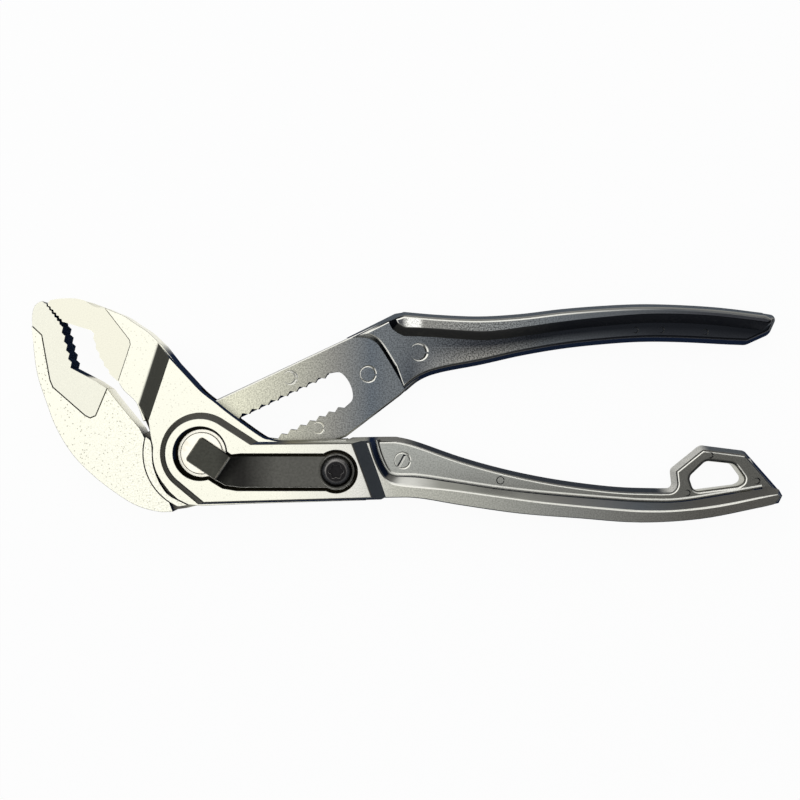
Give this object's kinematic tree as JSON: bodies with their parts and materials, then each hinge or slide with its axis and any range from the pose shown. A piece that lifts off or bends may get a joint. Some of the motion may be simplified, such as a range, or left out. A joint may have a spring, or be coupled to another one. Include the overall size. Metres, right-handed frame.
{
  "type": "water pump pliers",
  "caption": "Slip-joint pliers with angled toothed jaws, a slotted plate between cheeks, a sprung push-to-release locking pin and a tether loop at one handle's end.",
  "frame": {"origin": "middle of the tool's outline, on the back face that it lies on", "axes": "+X along the handles away from the jaws, +Y across the tool towards the slotted handle, +Z from the back face to the side with the leaf spring"},
  "size_m": [0.2498, 0.0746, 0.017],
  "materials": {
    "body_casting": "sandblasted die casting",
    "upper_jaw_insert": "bead-blasted hardened steel",
    "rear_bush": "sintered bronze",
    "thread_insert": "turned steel",
    "leaf_spring": "black-oxide spring steel",
    "spring_screw": "black-oxide steel",
    "pivot_bush": "turned steel",
    "slotted_handle": "sandblasted die casting",
    "lower_jaw_insert": "bead-blasted hardened steel",
    "locking_pin": "turned steel"
  },
  "bodies": {
    "body": {"body_casting": "body_casting", "upper_jaw_insert": "upper_jaw_insert", "rear_bush": "rear_bush", "thread_insert": "thread_insert", "leaf_spring": "leaf_spring", "spring_screw": "spring_screw"},
    "bush": {"pivot_bush": "pivot_bush"},
    "handle": {"slotted_handle": "slotted_handle", "lower_jaw_insert": "lower_jaw_insert"},
    "pin": {"locking_pin": "locking_pin"}
  },
  "joints": [
    {"name": "jaw_pivot", "type": "hinge", "parent": "body", "child": "bush", "pos_m": [-0.06857, -0.01385, 0.0075], "axis": [0, 0, 1], "range_deg": [0, 24]},
    {"name": "jaw_adjust", "type": "slide", "parent": "bush", "child": "handle", "axis": [-0.9056, -0.4242, 0], "range_m": [0, 0.0385]},
    {"name": "release_press", "type": "slide", "parent": "body", "child": "pin", "axis": [0, 0, 1], "range_m": [0, 0.0028], "stiffness_N_per_m": 2000, "springref_m": -0.002, "deforming": ["leaf_spring"]}
  ]
}
